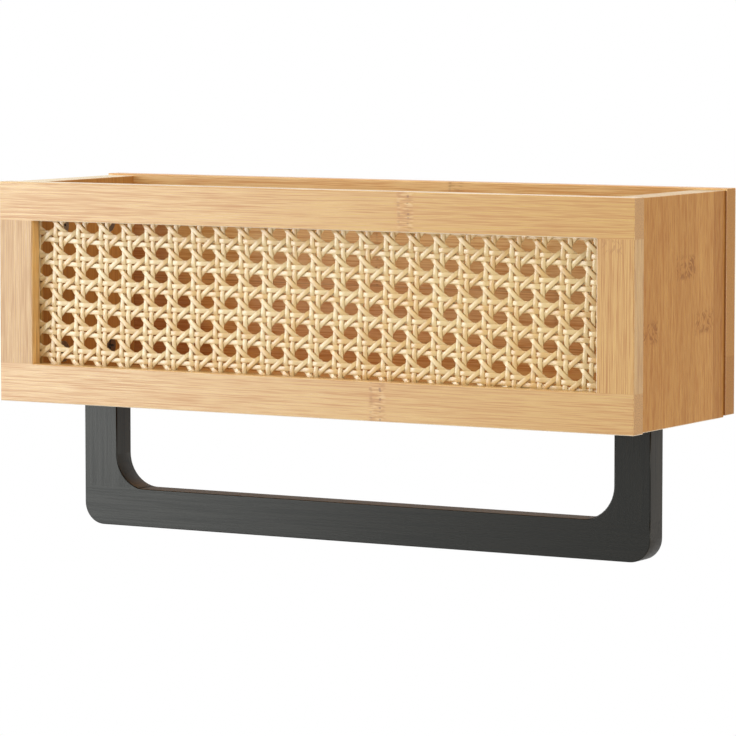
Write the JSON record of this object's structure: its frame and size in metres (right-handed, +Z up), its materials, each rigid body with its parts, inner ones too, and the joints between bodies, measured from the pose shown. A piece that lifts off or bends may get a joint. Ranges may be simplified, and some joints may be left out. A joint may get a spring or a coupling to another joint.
{
  "type": "wall shelf",
  "caption": "Open-topped wooden box shelf that hangs on a wall, with woven cane set in its front frame and a black U-shaped towel bar under its floor.",
  "frame": {"origin": "centre of the back board's rear face, on the wall", "axes": "+X to the right as seen from the room, +Y into the wall, +Z up; the caned front faces -Y"},
  "size_m": [0.4, 0.122, 0.1993],
  "materials": {
    "light_bamboo": "Clear-lacquered solid bamboo, pale, satin, with fine straight grain",
    "bamboo": "Clear-lacquered solid bamboo, golden brown, satin, with fine straight grain and nodes",
    "cane": "Split rattan cane webbing, pale straw, with its natural gloss",
    "black_bamboo": "Solid bamboo stained black, satin, with its grain showing through",
    "beech": "Plain turned beech dowel, unfinished",
    "zinc": "Die-cast zinc, dull grey",
    "steel": "Zinc-plated steel, plain"
  },
  "bodies": {
    "root": {"front_top_rail": "light_bamboo", "front_bottom_rail": "light_bamboo", "front_left_stile": "light_bamboo", "front_right_stile": "light_bamboo", "frame_dowels": "beech", "cane_panel": "cane", "cane_bead_top": "light_bamboo", "cane_bead_bottom": "light_bamboo", "cane_bead_left": "light_bamboo", "cane_bead_right": "light_bamboo", "left_side_board": "bamboo", "right_side_board": "bamboo", "back_board": "bamboo", "floor_board": "bamboo", "cam_locks": "zinc", "cam_bolts": "steel", "board_dowels": "beech", "towel_bar": "black_bamboo", "left_leg": "black_bamboo", "right_leg": "black_bamboo", "leg_dowels": "beech", "leg_screws": "steel", "left_hanger": "steel", "right_hanger": "steel", "hanger_screws": "zinc"}
  },
  "joints": []
}
